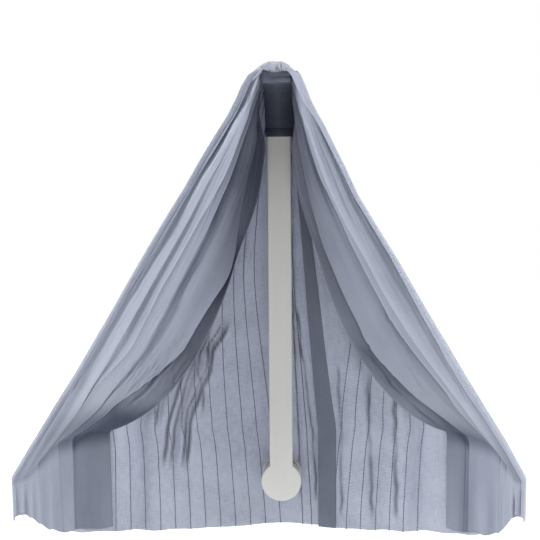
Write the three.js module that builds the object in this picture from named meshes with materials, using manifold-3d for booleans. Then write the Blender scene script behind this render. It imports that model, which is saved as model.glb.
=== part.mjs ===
// Canopy for the head end of a bed: a bent wooden mast that clamps to upright slats, with a
// cotton canopy slipped over its arm and draped over the rails. Millimetres, +Z up.
// The origin is the centre of the mast's round foot, on the plane of the slats' front faces.
import * as THREE from 'three';
import { mergeVertices } from 'three/addons/utils/BufferGeometryUtils.js';
import Module from 'manifold-3d';

const wasm = await Module();
wasm.setup();

// Mast: one board of even thickness with a round foot, bent forward into an arm
const boardThickness = 14;
const barWidth = 40;
const footDiameter = 70;
const armUnderside = 683;
const armReach = 185;
const bendRadius = 100;
const edgeRounding = 2;
const smallRounding = 0.3;

// Clamp: the foot's stack in front of the slats and the loose disc behind them
const slatThickness = 12;
const padThickness = 3;
const spacerThickness = 8;
const rearDiscThickness = 12;
const rearDiscDiameter = 70;
const padInset = 2;
const boltSpacing = 36;
const boltDiameter = 6;
const boltLength = 50;
const boltChamfer = 0.8;
const boltHeadDiameter = 12;
const boltHeadHeight = 3.5;
const socketDiameter = 4.6;
const socketDepth = 2;
const washerDiameter = 18;
const washerThickness = 1.6;
const insertDiameter = 10;
const insertLength = 10;

// Fits: the gap between pieces that touch, and the play around each bolt
const seatGap = 0.3;
const boltPlay = 0.3;
const cutOverrun = 1;

// Canopy: where the cloth hangs, measured from the foot's centre
const clothThickness = 2.4;
const clothGap = 0.5;
const foldGap = 1;
const joinGap = 1;
const lapGap = 1.5;
const sleeveWall = 2;
const sleeveHem = 598;
const railTop = 80;
const leftReach = 401;
const rightReach = 375;
const sideRun = 253;
const backLine = 30;
const cornerRadius = 125;
const innerInset = 11;
const hemFront = 15;
const hemCorner = -110;
const hemCentre = -102;
const innerHemLift = 12;
const clampBulge = 15;
const clampBulgeReach = 95;
const clampBulgeShares = [0, 0.25];
const hemSideShares = [0, 0.5];
const hemBackShares = [0.6, 1];

// Folds: how far they stand out, where they fade and how much the loose front edge sags.
// Shares across go from the front fold (0) to the middle (1), and down from ridge to hem.
const railShare = 0.75;
const frontRunShare = 0.512;
const facingShare = 0.9;
const shoulderShare = 1 / 3;
const waistShare = 2 / 3;
const backShare = 0.7;
const overBendEndShare = 0.65;
const overBendLeadShare = 0.05;
const sideToBackShares = [0.3, 0.6];
const foldEndShares = [0.7, 0.82];
const foldStartShares = [0, 0.8];
const foldForwardShare = 0.894;
const lapShares = [0.65, 0.8];
const lapDropShares = [0.1, 0.5];
const frontInsetShares = [0, 0.12];
const swellStartShares = [0.02, 0.5];
const swellEndShares = [0.75, 1];
const foldSharesLeft = [
  [0, 0], [0.07, 0.12], [0.22, -0.15], [0.39, 0.5], [0.525, 1], [0.575, -0.25], [0.68, 0.65],
  [0.76, 0.2], [0.82, 0.55], [0.885, -0.9], [0.93, 0.2], [1, -0.1],
];
const foldSharesRight = [
  [0, 0], [0.08, 0.12], [0.2, -0.35], [0.36, 0.5], [0.56, 0.95], [0.65, -0.35], [0.76, 0.5],
  [0.885, -0.6], [0.94, 0.35], [1, -0.1],
];
const sideFoldDepth = 5;
const backFoldDepth = 3.5;
const frontFoldDepth = 18;
const outerFoldCount = 9;
const leftShoulderRise = 25;
const rightShoulderRise = -11;
const ridgeBack = -60;
const ridgeCorner = 22;
const bendClear = 24;
const ridgeInnerFront = -183;
const ridgeInnerBack = -110;
const edgeHang = 290;
const edgeDrift = 25;
const edgeSwing = 165;
const edgeLift = 48;
const overlapRun = 84;
const bandStart = 66;
const bandWidth = 31;

// Crown: the cloth bunched over the arm
const crownRise = 9;
const crownRipple = 2.2;
const crownRippleCount = 7;

// How finely the round pieces and the sheets of cloth are divided
const roundSides = 24;
const bendSteps = 14;
const hexSides = 6;
const bevelSteps = 2;
const clothRows = 12;
const panelColumns = { side: 16, leftBack: 20, rightBack: 14, front: 30, trim: 3 };
const crownGrid = [6, 22];

// Where the pieces lie, worked out from the sizes above
const padFront = -padThickness;
const spacerBack = padFront - seatGap;
const spacerFront = spacerBack - spacerThickness;
const boardBack = spacerFront - seatGap;
const boardFront = boardBack - boardThickness;
const rearPadBack = slatThickness + padThickness;
const rearDiscFront = rearPadBack + seatGap;
const rearDiscBack = rearDiscFront + rearDiscThickness;
const washerFront = rearDiscBack + seatGap;
const washerBack = washerFront + washerThickness;
const headFront = washerBack + seatGap;
const boltTip = headFront - boltLength;
const bendY = boardFront - bendRadius;
const bendZ = armUnderside - bendRadius;
const armTop = armUnderside + boardThickness;
const sleeveHalfWidth = barWidth / 2 + seatGap + sleeveWall;
const sleeveTop = armTop + seatGap + sleeveWall;
const innerTopX = sleeveHalfWidth + clothGap + clothThickness / 2;
const outerTopX = innerTopX + clothThickness + foldGap;

// Finishes
const whitePaint = { color: 0xdcdcd8, roughness: 0.45, metalness: 0 };
const grayFelt = { color: 0x9a9b9a, roughness: 0.95, metalness: 0 };
const zincSteel = { color: 0xb4b6b8, roughness: 0.35, metalness: 1 };
const brass = { color: 0xb89a56, roughness: 0.35, metalness: 1 };
const dustyBlue = { color: 0x96a0b2, roughness: 0.9, metalness: 0 };
const dustyBlueBand = { color: 0x7d869a, roughness: 0.9, metalness: 0 };

const group = new THREE.Group();
const X = new THREE.Vector3(1, 0, 0);
const Y = new THREE.Vector3(0, 1, 0);
const Z = new THREE.Vector3(0, 0, 1);

function addMesh(parent, name, geometry, finish, y = 0) {
  const mesh = new THREE.Mesh(geometry, new THREE.MeshStandardMaterial(finish));
  mesh.name = name;
  mesh.position.y = y;
  parent.add(mesh);
  return mesh;
}

// Cutting and joining of closed meshes
function toSolid(geometry) {
  const bare = geometry.clone();
  bare.deleteAttribute('normal');
  bare.deleteAttribute('uv');
  const merged = mergeVertices(bare);
  return new wasm.Manifold(new wasm.Mesh({
    numProp: 3,
    vertProperties: new Float32Array(merged.attributes.position.array),
    triVerts: new Uint32Array(merged.index.array),
  }));
}

function toGeometry(solid) {
  const mesh = solid.getMesh();
  const geometry = new THREE.BufferGeometry();
  geometry.setAttribute('position', new THREE.BufferAttribute(mesh.vertProperties, 3));
  geometry.setIndex(new THREE.BufferAttribute(mesh.triVerts, 1));
  return geometry;
}

function cutAway(geometry, tools) {
  let solid = toSolid(geometry);
  for (const tool of tools) solid = solid.subtract(toSolid(tool));
  return toGeometry(solid);
}

// A round disc along Y from y = 0 to y = thickness, with eased edges
function discGeometry(diameter, thickness, rounding) {
  const shape = new THREE.Shape().absarc(0, 0, diameter / 2, 0, 2 * Math.PI);
  const geometry = new THREE.ExtrudeGeometry(shape, {
    depth: thickness - 2 * rounding, curveSegments: roundSides,
    bevelThickness: rounding, bevelSize: rounding, bevelOffset: -rounding, bevelSegments: bevelSteps,
  });
  geometry.applyMatrix4(new THREE.Matrix4().makeBasis(X, Z, Y.clone().negate()));
  return geometry.translate(0, thickness - rounding, 0);
}

// A round bar along Y between two places, at a height above the foot's centre
function rodGeometry(diameter, fromY, toY, height, sides = roundSides) {
  const rod = new THREE.CylinderGeometry(diameter / 2, diameter / 2, toY - fromY, sides);
  return rod.translate(0, (fromY + toY) / 2, height);
}

const boltHeights = [boltSpacing / 2, -boltSpacing / 2];

function boltHoles(diameter, thickness) {
  return boltHeights.map((z) => rodGeometry(diameter, -cutOverrun, thickness + cutOverrun, z));
}

// The side view of the bent board, grown by an allowance, from a low end to the arm's front end
function boardProfile(allowance, lowEnd, frontEnd) {
  const shape = new THREE.Shape();
  shape.moveTo(boardFront - allowance, lowEnd);
  shape.lineTo(boardBack + allowance, lowEnd);
  shape.absarc(bendY, bendZ, bendRadius + boardThickness + allowance, 0, Math.PI / 2);
  shape.lineTo(frontEnd, armTop + allowance);
  shape.lineTo(frontEnd, armUnderside - allowance);
  shape.absarc(bendY, bendZ, bendRadius - allowance, Math.PI / 2, 0, true);
  return shape;
}

function boardGeometry(allowance, lowEnd, frontEnd, rounding) {
  const width = barWidth + 2 * allowance;
  const geometry = new THREE.ExtrudeGeometry(boardProfile(allowance, lowEnd, frontEnd), {
    depth: width - 2 * rounding, curveSegments: bendSteps, bevelEnabled: rounding > 0,
    bevelThickness: rounding, bevelSize: rounding, bevelOffset: -rounding, bevelSegments: bevelSteps,
  });
  geometry.applyMatrix4(new THREE.Matrix4().makeBasis(Y, Z, X));
  return geometry.translate(rounding - width / 2, 0, 0);
}

// The mast: bar, bend and arm in one board, joined to its round foot, with holes for the inserts
function makeMast() {
  const bar = toSolid(boardGeometry(0, 0, -armReach, edgeRounding));
  const foot = discGeometry(footDiameter, boardThickness, edgeRounding).translate(0, boardFront, 0);
  const holeDiameter = insertDiameter + 2 * seatGap;
  const holeEnd = boardBack - insertLength - 2 * seatGap;
  let mast = bar.add(toSolid(foot));
  for (const z of boltHeights) {
    mast = mast.subtract(toSolid(rodGeometry(holeDiameter, holeEnd, boardBack + cutOverrun, z)));
  }
  addMesh(group, 'mast', toGeometry(mast), whitePaint);
}

// The parts of the clamp, from the inserts in the foot to the bolt heads behind the slats
function makeClamp() {
  const boreDiameter = boltDiameter + 2 * boltPlay;
  const padDiameter = footDiameter - 2 * padInset;
  const rearPadDiameter = rearDiscDiameter - 2 * padInset;
  const spacer = cutAway(discGeometry(footDiameter, spacerThickness, smallRounding),
    boltHoles(boreDiameter, spacerThickness));
  const frontPad = cutAway(discGeometry(padDiameter, padThickness, smallRounding),
    boltHoles(boreDiameter, padThickness));
  const rearPad = cutAway(discGeometry(rearPadDiameter, padThickness, smallRounding),
    boltHoles(boreDiameter, padThickness));
  const rearDisc = cutAway(discGeometry(rearDiscDiameter, rearDiscThickness, edgeRounding),
    boltHoles(boreDiameter, rearDiscThickness));
  addMesh(group, 'foot_spacer', spacer, whitePaint, spacerFront);
  addMesh(group, 'front_pad', frontPad, grayFelt, padFront);
  addMesh(group, 'rear_pad', rearPad, grayFelt, slatThickness);
  addMesh(group, 'rear_clamp_disc', rearDisc, whitePaint, rearDiscFront);
  boltHeights.forEach((z, place) => addFixing(place ? 'lower' : 'upper', z));
}

function addFixing(level, z) {
  const fixing = new THREE.Group();
  fixing.position.z = z;
  group.add(fixing);
  const bore = boltDiameter + 2 * boltPlay;
  const insertFront = boardBack - seatGap - insertLength;
  const insert = cutAway(rodGeometry(insertDiameter, 0, insertLength, 0),
    [rodGeometry(bore, -cutOverrun, insertLength + cutOverrun, 0)]);
  const washer = cutAway(rodGeometry(washerDiameter, 0, washerThickness, 0),
    [rodGeometry(bore, -cutOverrun, washerThickness + cutOverrun, 0)]);
  addMesh(fixing, level + '_insert', insert, brass, insertFront);
  addMesh(fixing, level + '_washer', washer, zincSteel, washerFront);
  addMesh(fixing, level + '_bolt', boltGeometry(), zincSteel, boltTip);
}

// A bolt along Y with its tip at y = 0 and a low round head with a hexagon socket
function boltGeometry() {
  const shank = boltDiameter / 2;
  const head = boltHeadDiameter / 2;
  const top = boltLength + boltHeadHeight;
  const profile = [
    [0, 0], [shank - boltChamfer, 0], [shank, boltChamfer], [shank, boltLength],
    [head, boltLength], [head, top - boltChamfer], [head - boltChamfer, top], [0, top],
  ];
  const turned = new THREE.LatheGeometry(profile.map(([r, y]) => new THREE.Vector2(r, y)), roundSides);
  return cutAway(turned, [rodGeometry(socketDiameter, top - socketDepth, top + cutOverrun, 0, hexSides)]);
}

// Smooth step from 0 to 1 as a value goes from low to high
function ease(value, [low, high]) {
  const share = Math.min(Math.max((value - low) / (high - low), 0), 1);
  return share * share * (3 - 2 * share);
}

function mix(from, to, share) {
  return from + (to - from) * share;
}

// One half of the canopy: which way it falls, how far out its rail is and how much its side
// stands out under the ridge
function makeHalf(sign, reach, rise) {
  const alongSide = sideRun + backLine - cornerRadius;
  const aroundCorner = cornerRadius * Math.PI / 2;
  const run = alongSide + aroundCorner + reach - cornerRadius;
  const seam = (alongSide + aroundCorner / 2) / run;
  return { sign, reach, rise, alongSide, aroundCorner, run, seam, join: joinGap / run };
}

const left = makeHalf(-1, leftReach, leftShoulderRise);
const right = makeHalf(1, rightReach, rightShoulderRise);

// A line that runs back beside the middle, turns a round corner and comes in to the middle,
// at a share of the way along the rail's own such line
function bendLine(half, around, outline, inset = 0) {
  const { reach, front, back, corner } = outline;
  const turnFrom = half.alongSide / half.run;
  const turnTo = (half.alongSide + half.aroundCorner) / half.run;
  const radius = corner - inset;
  if (around < turnFrom) {
    const y = mix(front, back - corner, around / turnFrom);
    return new THREE.Vector3(half.sign * (reach - inset), y, 0);
  }
  if (around < turnTo) {
    const turn = (around - turnFrom) / (turnTo - turnFrom) * Math.PI / 2;
    const x = reach - corner + radius * Math.cos(turn);
    return new THREE.Vector3(half.sign * x, back - corner + radius * Math.sin(turn), 0);
  }
  const x = mix(reach - corner, 0, (around - turnTo) / (1 - turnTo));
  return new THREE.Vector3(half.sign * x, back - inset, 0);
}

// Where the cloth bends over the rails, and where it leaves the ridge over the arm
function railPoint(half, around, inset) {
  const outline = { reach: half.reach, front: -sideRun, back: backLine, corner: cornerRadius };
  return bendLine(half, around, outline, inset).setZ(railTop);
}

function ridgePoint(half, around) {
  const outline = { reach: outerTopX, front: ridgeInnerFront, back: ridgeBack, corner: ridgeCorner };
  const z = mix(armTop, sleeveTop + clothGap + clothThickness / 2, ease(around, [half.seam, backShare]));
  return bendLine(half, around, outline).setZ(z);
}

function hemHeight(share) {
  const alongSide = mix(hemFront, hemCorner, ease(share, hemSideShares));
  return mix(alongSide, hemCentre, ease(share, hemBackShares));
}

// Below the rail the cloth hangs straight, pushed out a little where it passes the clamp
function hangBelow(point, drop, share) {
  const nearClamp = 1 - ease(Math.abs(point.x), [0, clampBulgeReach]);
  point.y += clampBulge * nearClamp * ease(share, clampBulgeShares);
  point.z -= drop * share;
  return point;
}

// The outer cloth, from the front fold round the outside to the middle of the back
function outerRay(half, around) {
  const top = ridgePoint(half, around);
  const foot = railPoint(half, around, 0);
  const toSide = 1 - ease(around, [half.seam, backShare]);
  const shoulder = top.clone().lerp(foot, shoulderShare);
  shoulder.x += half.sign * half.rise * toSide;
  shoulder.z += half.rise * toSide;
  const waist = top.clone().lerp(foot, waistShare);
  const overBend = ease(around, [half.seam - overBendLeadShare, overBendEndShare]);
  shoulder.y = mix(shoulder.y, bendClear, overBend);
  shoulder.z = mix(shoulder.z, armTop, overBend);
  waist.y = mix(waist.y, bendClear, overBend);
  return new THREE.CubicBezierCurve3(top, shoulder, waist, foot);
}

function outerSurface(half, layer = 0) {
  return (around, down) => {
    const share = Math.min(down / railShare, 1);
    const point = outerRay(half, around).getPoint(share);
    const below = Math.max((down - railShare) / (1 - railShare), 0);
    const fade = 1 - ease(around, foldEndShares);
    const depth = mix(sideFoldDepth, backFoldDepth, ease(around, sideToBackShares)) * fade;
    const wave = Math.sin(2 * Math.PI * outerFoldCount * around) * ease(share, foldStartShares);
    const outward = railPoint(half, around, 0).sub(railPoint(half, around, innerInset)).normalize();
    const lap = layer * ease(around, lapShares);
    point.addScaledVector(outward, depth * wave + lap);
    point.z += lap * (1 - ease(share, lapDropShares));
    return hangBelow(point, railTop - hemHeight(Math.min(around, 1)), below);
  };
}

// The turned-in front cloth, from the front fold to its loose edge
function foldHeight(table, across) {
  const held = Math.min(Math.max(across, 0), 1);
  const next = Math.max(table.findIndex(([place]) => place >= held), 1);
  const [fromPlace, fromHeight] = table[next - 1];
  const [toPlace, toHeight] = table[next];
  return mix(fromHeight, toHeight, ease(held, [fromPlace, toPlace]));
}

function innerRay(half, across) {
  const held = Math.max(across, 0);
  const slack = held * Math.sqrt(held);
  const topY = mix(ridgeInnerFront, ridgeInnerBack, slack);
  const top = new THREE.Vector3(half.sign * innerTopX, topY, armTop);
  const inset = mix(clothThickness + foldGap, innerInset, ease(across, frontInsetShares));
  const foot = railPoint(half, slack * frontRunShare, inset);
  const hang = new THREE.Vector3(half.sign * clothThickness, edgeDrift, -edgeHang).add(top);
  const swing = new THREE.Vector3(-half.sign * edgeSwing, -edgeDrift, edgeLift).add(foot);
  const shoulder = top.clone().lerp(foot, shoulderShare);
  shoulder.x += half.sign * half.rise * (1 - across);
  shoulder.z += half.rise * (1 - across);
  shoulder.lerp(hang, slack);
  const waist = top.clone().lerp(foot, waistShare).lerp(swing, slack);
  return new THREE.CubicBezierCurve3(top, shoulder, waist, foot);
}

function innerSurface(half, table) {
  return (across, down) => {
    const share = Math.min(down / railShare, 1);
    const point = innerRay(half, across).getPoint(share);
    const below = Math.max((down - railShare) / (1 - railShare), 0);
    const swell = ease(share, swellStartShares) * (1 - ease(share, swellEndShares));
    const sideways = Math.sqrt(1 - foldForwardShare ** 2);
    const facing = new THREE.Vector3(-half.sign * sideways, -foldForwardShare, 0);
    point.addScaledVector(facing, frontFoldDepth * foldHeight(table, across) * swell);
    const hem = hemHeight(across * frontRunShare) + innerHemLift;
    return hangBelow(point, railTop - hem, below);
  };
}

// A closed sheet of cloth about a surface given as shares across and down
const probeShare = 0.0005;

function clothGeometry(surface, [fromAcross, toAcross], columns, rows = clothRows) {
  const positions = [];
  const normalAt = (across, down) => {
    const alongAcross = surface(across + probeShare, down).sub(surface(across - probeShare, down));
    const alongDown = surface(across, down + probeShare).sub(surface(across, down - probeShare));
    return alongAcross.cross(alongDown).normalize();
  };
  for (const layer of [-clothThickness / 2, clothThickness / 2]) {
    for (let row = 0; row <= rows; row += 1) {
      for (let column = 0; column <= columns; column += 1) {
        const across = mix(fromAcross, toAcross, column / columns);
        const down = row / rows;
        const point = surface(across, down).addScaledVector(normalAt(across, down), layer);
        positions.push(point.x, point.y, point.z);
      }
    }
  }
  return closedSheet(positions, columns, rows);
}

// Joins two like grids of points, one behind the other, into one closed skin
function closedSheet(positions, columns, rows) {
  const wide = columns + 1;
  const layerSize = wide * (rows + 1);
  const triangles = [];
  const addQuad = (a, b, c, d) => triangles.push(a, b, c, a, c, d);
  for (let row = 0; row < rows; row += 1) {
    for (let column = 0; column < columns; column += 1) {
      const at = row * wide + column;
      addQuad(at, at + 1, at + wide + 1, at + wide);
      addQuad(layerSize + at, layerSize + at + wide, layerSize + at + wide + 1, layerSize + at + 1);
    }
  }
  const addEdge = (from, to) => addQuad(to, from, layerSize + from, layerSize + to);
  for (let column = 0; column < columns; column += 1) {
    addEdge(column, column + 1);
    addEdge(rows * wide + column + 1, rows * wide + column);
  }
  // The two side edges are split along like diagonals, so that neighbouring sheets lie flush
  for (let row = 0; row < rows; row += 1) {
    const [upper, lower] = [row * wide, (row + 1) * wide];
    addEdge(upper + columns, lower + columns);
    addQuad(lower, layerSize + lower, layerSize + upper, upper);
  }
  return outwardGeometry(positions, triangles);
}

// The mesh with its triangles turned so that its volume is positive
function outwardGeometry(positions, triangles) {
  const corner = (index) => new THREE.Vector3().fromArray(positions, 3 * index);
  let volume = 0;
  for (let at = 0; at < triangles.length; at += 3) {
    const [a, b, c] = triangles.slice(at, at + 3).map(corner);
    volume += a.dot(b.cross(c));
  }
  const turned = volume < 0 ? [...triangles].reverse() : triangles;
  const geometry = new THREE.BufferGeometry();
  geometry.setAttribute('position', new THREE.Float32BufferAttribute(positions, 3));
  geometry.setIndex(turned);
  return geometry;
}

// The sleeve: a cloth tunnel with a closed end, slipped over the arm and most of the bend
function makeSleeve() {
  const wall = seatGap + sleeveWall;
  const rawEnd = bendZ - cutOverrun;
  const outside = boardGeometry(wall, rawEnd, -armReach - wall, 0);
  const inside = boardGeometry(seatGap, rawEnd - cutOverrun, -armReach - seatGap, 0);
  const width = 2 * (sleeveHalfWidth + cutOverrun);
  const depth = 2 * (boardThickness + wall);
  const height = sleeveHem - rawEnd + cutOverrun;
  const belowHem = new THREE.BoxGeometry(width, depth, height);
  belowHem.translate(0, (boardFront + boardBack) / 2, sleeveHem - height / 2);
  addMesh(group, 'arm_sleeve', cutAway(outside, [inside, belowHem]), dustyBlueBand);
}

// The cloth gathered over the top of the arm, rippled along it
function crownSurface(across, along) {
  const spread = 2 * across - 1;
  const arch = 1 - spread * spread;
  const edgeZ = armTop + clothGap + clothThickness / 2;
  const ripple = crownRipple * Math.cos(2 * Math.PI * crownRippleCount * along) * arch;
  const z = edgeZ + crownRise * arch + ripple;
  const y = mix(ridgeInnerFront, ridgeBack - clothThickness - clothGap, along);
  return new THREE.Vector3(spread * (outerTopX + clothThickness / 2), y, z);
}

function makeCanopy() {
  makeSleeve();
  addMesh(group, 'crown_gather', clothGeometry(crownSurface, [0, 1], ...crownGrid), dustyBlue);
  makeFronts('left', left, foldSharesLeft);
  makeFronts('right', right, foldSharesRight);
  const leftBack = outerSurface(left, clothThickness + lapGap);
  const rightBack = outerSurface(right);
  const lapEnd = 1 + overlapRun / left.run;
  const bandEdge = 1 - bandStart / right.run;
  const bandJoin = bandEdge - bandWidth / right.run;
  addMesh(group, 'left_back_panel',
    clothGeometry(leftBack, [left.seam + left.join, lapEnd], panelColumns.leftBack), dustyBlue);
  addMesh(group, 'right_back_panel',
    clothGeometry(rightBack, [right.seam + right.join, bandJoin - right.join], panelColumns.rightBack),
    dustyBlue);
  addMesh(group, 'back_edge_band',
    clothGeometry(rightBack, [bandJoin + right.join, bandEdge], panelColumns.trim), dustyBlueBand);
}

// One side's outer panel, the front cloth turned in from it and the facing on its loose edge
function makeFronts(side, half, table) {
  const outer = outerSurface(half);
  const inner = innerSurface(half, table);
  addMesh(group, side + '_side_panel',
    clothGeometry(outer, [0, half.seam - half.join], panelColumns.side), dustyBlue);
  addMesh(group, side + '_front_drape',
    clothGeometry(inner, [0, facingShare - half.join], panelColumns.front), dustyBlue);
  addMesh(group, side + '_facing',
    clothGeometry(inner, [facingShare + half.join, 1], panelColumns.trim), dustyBlueBand);
}

makeMast();
makeClamp();
makeCanopy();

export default group;
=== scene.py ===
import math
import bpy
import numpy as np
from mathutils import Euler, Matrix, Vector


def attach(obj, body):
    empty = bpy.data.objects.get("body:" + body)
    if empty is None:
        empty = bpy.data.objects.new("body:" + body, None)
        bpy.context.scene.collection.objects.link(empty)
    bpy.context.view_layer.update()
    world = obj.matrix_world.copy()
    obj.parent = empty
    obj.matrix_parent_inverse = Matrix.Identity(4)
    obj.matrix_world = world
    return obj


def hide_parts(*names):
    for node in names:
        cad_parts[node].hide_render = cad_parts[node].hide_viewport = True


# A cotton canopy that hangs from the bent arm of a clamped mast. Metres, +Z up.
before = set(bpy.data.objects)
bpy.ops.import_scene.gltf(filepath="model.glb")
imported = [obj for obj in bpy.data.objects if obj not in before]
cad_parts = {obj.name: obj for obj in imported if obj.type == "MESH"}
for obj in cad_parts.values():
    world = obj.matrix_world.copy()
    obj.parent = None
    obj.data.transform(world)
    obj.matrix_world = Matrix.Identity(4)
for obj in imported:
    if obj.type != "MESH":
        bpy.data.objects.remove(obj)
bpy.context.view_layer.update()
scene = bpy.context.scene
scene.view_settings.view_transform = "Standard"

cameraView = {
    "place": (0.041, -1.849, 0.624), "pitch": 82.16, "yaw": 1.81, "roll": -0.5,
    "lens": 72.4, "film": 36, "pixels": 540,
}


def cameraTurn():
    level = Euler((math.radians(cameraView["pitch"]), 0, math.radians(cameraView["yaw"]))).to_matrix()
    return level @ Matrix.Rotation(math.radians(cameraView["roll"]), 3, "Z")


def makeCamera():
    camera = bpy.data.objects.new("camera", bpy.data.cameras.new("camera"))
    camera.data.lens = cameraView["lens"]
    camera.location = cameraView["place"]
    camera.rotation_euler = cameraTurn().to_euler()
    scene.collection.objects.link(camera)
    scene.camera = camera


# Where places show in the picture, in pixels
def seenAt(places):
    local = (places - np.array(cameraView["place"])) @ np.array(cameraTurn())
    focal = cameraView["lens"] / cameraView["film"] * cameraView["pixels"]
    middle = cameraView["pixels"] / 2
    return middle - focal * local[..., 0] / local[..., 2], middle + focal * local[..., 1] / local[..., 2]


makeCamera()
print("camera placed")

# Where the cloth hangs, the same sizes as in the solids
hang = {
    "armTop": 0.697, "ridgeTop": 0.7010, "innerTop": 0.024, "outerTop": 0.0274,
    "ridgeFront": -0.203, "ridgeBack": -0.060, "ridgeCorner": 0.022, "ridgeInnerBack": -0.110,
    "railTop": 0.080, "sideRun": 0.253, "backLine": 0.030, "cornerRadius": 0.125,
    "innerInset": 0.011, "frontInset": 0.0034, "bendClear": 0.024,
    "hemFront": 0.015, "hemCorner": -0.110, "hemCentre": -0.102, "innerHemLift": 0.012,
    "clampBulge": 0.015, "clampReach": 0.095,
    "edgeHang": 0.290, "edgeDrift": 0.025, "edgeSwing": 0.165, "edgeLift": 0.048,
    "foldDepth": 0.031, "sideFold": 0.005, "backFold": 0.0035, "sideFoldCount": 9,
    "overlap": 0.084, "bandStart": 0.066, "bandWidth": 0.031, "lapOffset": 0.0039,
    "clothThickness": 0.0012,
}
railShare = 0.75
frontRunShare = 0.512


def smooth(value, low, high):
    share = np.clip((value - low) / (high - low), 0, 1)
    return share * share * (3 - 2 * share)


def mix(start, end, share):
    return start + (end - start) * share


def point(x, y, z):
    return np.stack(np.broadcast_arrays(x, y, z), -1).astype(float)


# Smooth unevenness from a seeded grid of values, from -1 to 1
def softNoise(u, v, seed):
    grid = np.random.RandomState(seed).uniform(-1, 1, (64, 64))
    u, v = np.broadcast_arrays(u, v)
    u0, v0 = np.floor(u).astype(int), np.floor(v).astype(int)
    fu, fv = smooth(u - u0, 0, 1), smooth(v - v0, 0, 1)
    at = lambda i, j: grid[(u0 + i) % 64, (v0 + j) % 64]
    return mix(mix(at(0, 0), at(1, 0), fu), mix(at(0, 1), at(1, 1), fu), fv)


def makeHalf(sign, reach, rise):
    alongSide = hang["sideRun"] + hang["backLine"] - hang["cornerRadius"]
    aroundCorner = hang["cornerRadius"] * math.pi / 2
    run = alongSide + aroundCorner + reach - hang["cornerRadius"]
    return {
        "sign": sign, "reach": reach, "rise": rise, "run": run,
        "turnFrom": alongSide / run, "turnTo": (alongSide + aroundCorner) / run,
        "seam": (alongSide + aroundCorner / 2) / run,
    }


left = makeHalf(-1, 0.401, 0.025)
right = makeHalf(1, 0.375, -0.011)
# frontTop: where the front fold starts beside the middle. pullIn, recess shade and foldOut: how far the
# drape is drawn in beside the mast, how much shade is painted there, and how far its upper fold stands out.
# hidden: the share of the drape's width that each crisp edge hides behind it. edgeShade: the shade
# behind an edge. lowShade: the shade over the rail, as (from, to, depth).
# swell: how far the front fold stands out from a plain curve, as (place down the cloth, millimetres).
left.update(
    frontTop=0.0205, pullIn=0.017, recess=0.5, foldOut=0.0, seed=3,
    hidden=(0.035,) * 6, edgeShade=0.66, lowShade=(0.58, 0.68, 0.55), swell=[
        (0, 4), (0.008, 8), (0.03, 5), (0.053, -1), (0.09, -7), (0.166, -10), (0.222, -13), (0.335, -11),
        (0.448, -9), (0.561, -4), (0.618, 1), (0.693, 5), (0.75, 6), (1, 6)])
right.update(
    frontTop=0.0150, pullIn=0.014, recess=0.12, foldOut=0.0055, seed=11,
    hidden=(0.06, 0.04, 0.045, 0.04), edgeShade=0.95, lowShade=(0.61, 0.74, 0.40), swell=[
        (0, 4), (0.006, 6), (0.03, 4.5), (0.053, 2), (0.1, 3), (0.166, 0.5), (0.222, -4), (0.335, -1.5),
        (0.448, -3.5), (0.561, -4), (0.618, -3), (0.693, -1), (0.75, -2), (1, -2)])


def swellAt(half, down):
    table = np.array(half["swell"]).T
    return half["sign"] * np.interp(down, table[0], table[1]) / 1000


# A line that runs back along one side, turns a round corner and comes in to the middle
def bendLine(half, around, reach, front, back, corner, inset=0.0):
    turn = np.clip((around - half["turnFrom"]) / (half["turnTo"] - half["turnFrom"]), 0, 1) * math.pi / 2
    radius = corner - inset
    x = reach - corner + radius * np.cos(turn)
    y = back - corner + radius * np.sin(turn)
    y = np.where(around < half["turnFrom"], mix(front, back - corner, around / half["turnFrom"]), y)
    inward = mix(reach - corner, 0, (around - half["turnTo"]) / (1 - half["turnTo"]))
    x = np.where(around > half["turnTo"], inward, x)
    return half["sign"] * x, y


def railLine(half, around, inset=0.0):
    return bendLine(
        half, around, half["reach"], -hang["sideRun"], hang["backLine"], hang["cornerRadius"], inset)


def curveAt(ends, share):
    a, b, c, d = ends
    t = share[..., None]
    return (1 - t) ** 3 * a + 3 * (1 - t) ** 2 * t * b + 3 * (1 - t) * t * t * c + t ** 3 * d


def hemHeight(share):
    alongSide = mix(hang["hemFront"], hang["hemCorner"], smooth(share, 0, 0.5))
    return mix(alongSide, hang["hemCentre"], smooth(share, 0.6, 1))


def hangBelow(places, drop, below):
    nearClamp = 1 - smooth(np.abs(places[..., 0]), 0, hang["clampReach"])
    places[..., 1] += hang["clampBulge"] * nearClamp * smooth(below, 0, 0.25)
    places[..., 2] -= drop * below
    return places


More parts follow.
